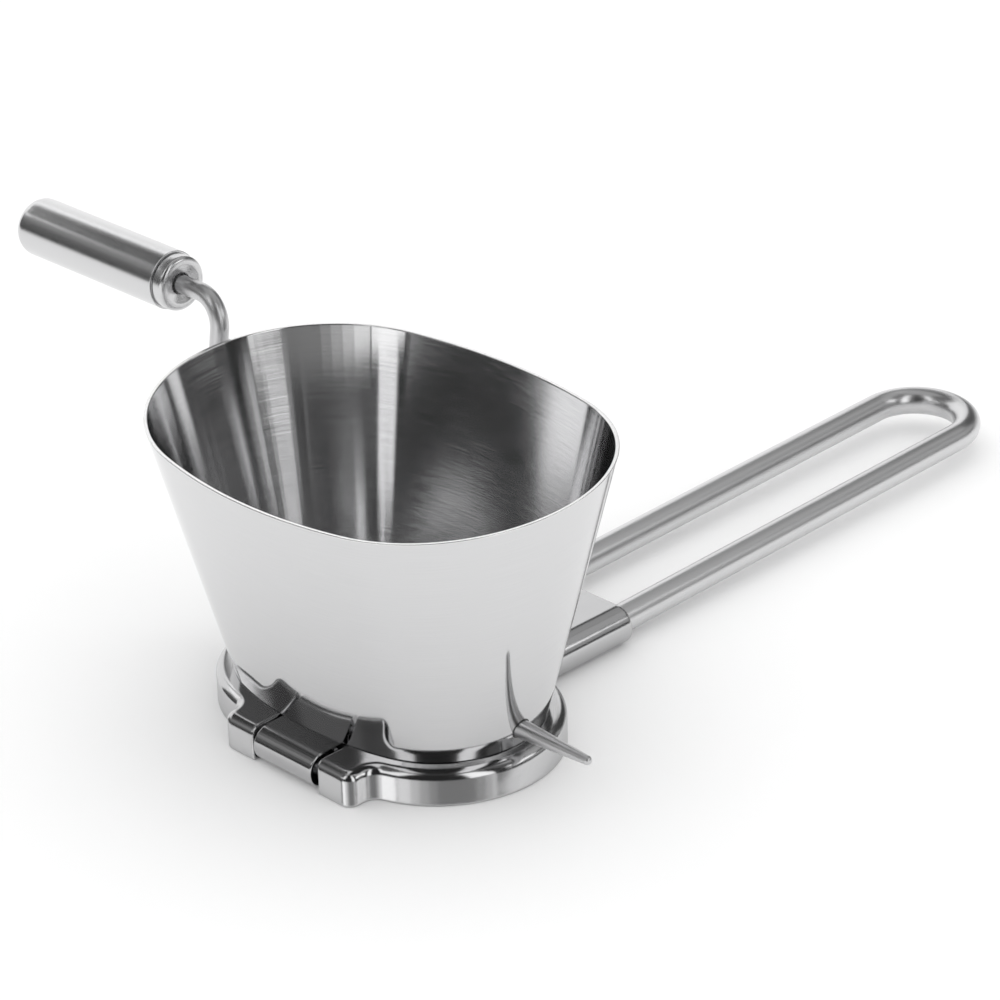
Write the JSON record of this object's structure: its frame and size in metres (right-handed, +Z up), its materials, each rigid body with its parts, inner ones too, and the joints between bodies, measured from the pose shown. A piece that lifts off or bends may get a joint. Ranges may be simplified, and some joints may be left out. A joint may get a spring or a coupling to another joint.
{
  "type": "food mill",
  "caption": "Hand-held food mill: a flared oval hopper hinged on a cast base ring, a cranked rotor of toothed discs over a slotted comb, a free-turning grip and a wire loop handle.",
  "frame": {"origin": "middle of the base ring, on the surface that it stands on", "axes": "+X along the loop handle, +Y along the shaft towards the crank, +Z up through the hopper"},
  "size_m": [0.2631, 0.2102, 0.0961],
  "materials": {
    "cast_polished": "mirror-polished stainless casting",
    "wire_polished": "polished stainless rod",
    "grip_polished": "satin-polished stainless tube",
    "sheet_satin": "stainless sheet, satin outside and brushed inside",
    "leaf_polished": "polished stainless strip",
    "cutter_steel": "plain ground stainless",
    "fastener_steel": "plain bright stainless",
    "bush_plastic": "natural white bearing plastic"
  },
  "bodies": {
    "base": {"base_frame": "cast_polished", "loop_handle": "wire_polished", "hinge_pin": "fastener_steel", "comb_plate": "cutter_steel", "comb_screws": "fastener_steel"},
    "hopper": {"hopper_shell": "sheet_satin", "seat_flange": "sheet_satin", "hinge_leaf": "leaf_polished", "leaf_rivets": "fastener_steel", "bush_crank_side": "bush_plastic", "bush_point_side": "bush_plastic"},
    "crank": {"crank_rod": "wire_polished", "rotor_tube": "cutter_steel", "rotor_spacers": "cutter_steel", "rotor_washers": "cutter_steel", "drive_pin": "fastener_steel", "axle_push_nut": "fastener_steel", "cutter_disc_1": "cutter_steel", "cutter_disc_2": "cutter_steel", "cutter_disc_3": "cutter_steel", "cutter_disc_4": "cutter_steel", "cutter_disc_5": "cutter_steel", "cutter_disc_6": "cutter_steel", "cutter_disc_7": "cutter_steel", "cutter_disc_8": "cutter_steel", "cutter_disc_9": "cutter_steel"},
    "grip": {"grip_tube": "grip_polished", "grip_collar": "grip_polished", "grip_bush": "bush_plastic"}
  },
  "joints": [
    {"name": "hopper_hinge", "type": "hinge", "parent": "base", "child": "hopper", "pos_m": [-0.034, -0.0028, 0.005], "axis": [0, -1, 0], "range_deg": [0, 80]},
    {"name": "crank_spin", "type": "hinge", "parent": "hopper", "child": "crank", "pos_m": [0, 0, 0.0146], "axis": [0, 1, 0], "continuous": true},
    {"name": "grip_spin", "type": "hinge", "parent": "crank", "child": "grip", "pos_m": [0.0109, 0.1, 0.0884], "axis": [0, 1, 0], "continuous": true}
  ]
}
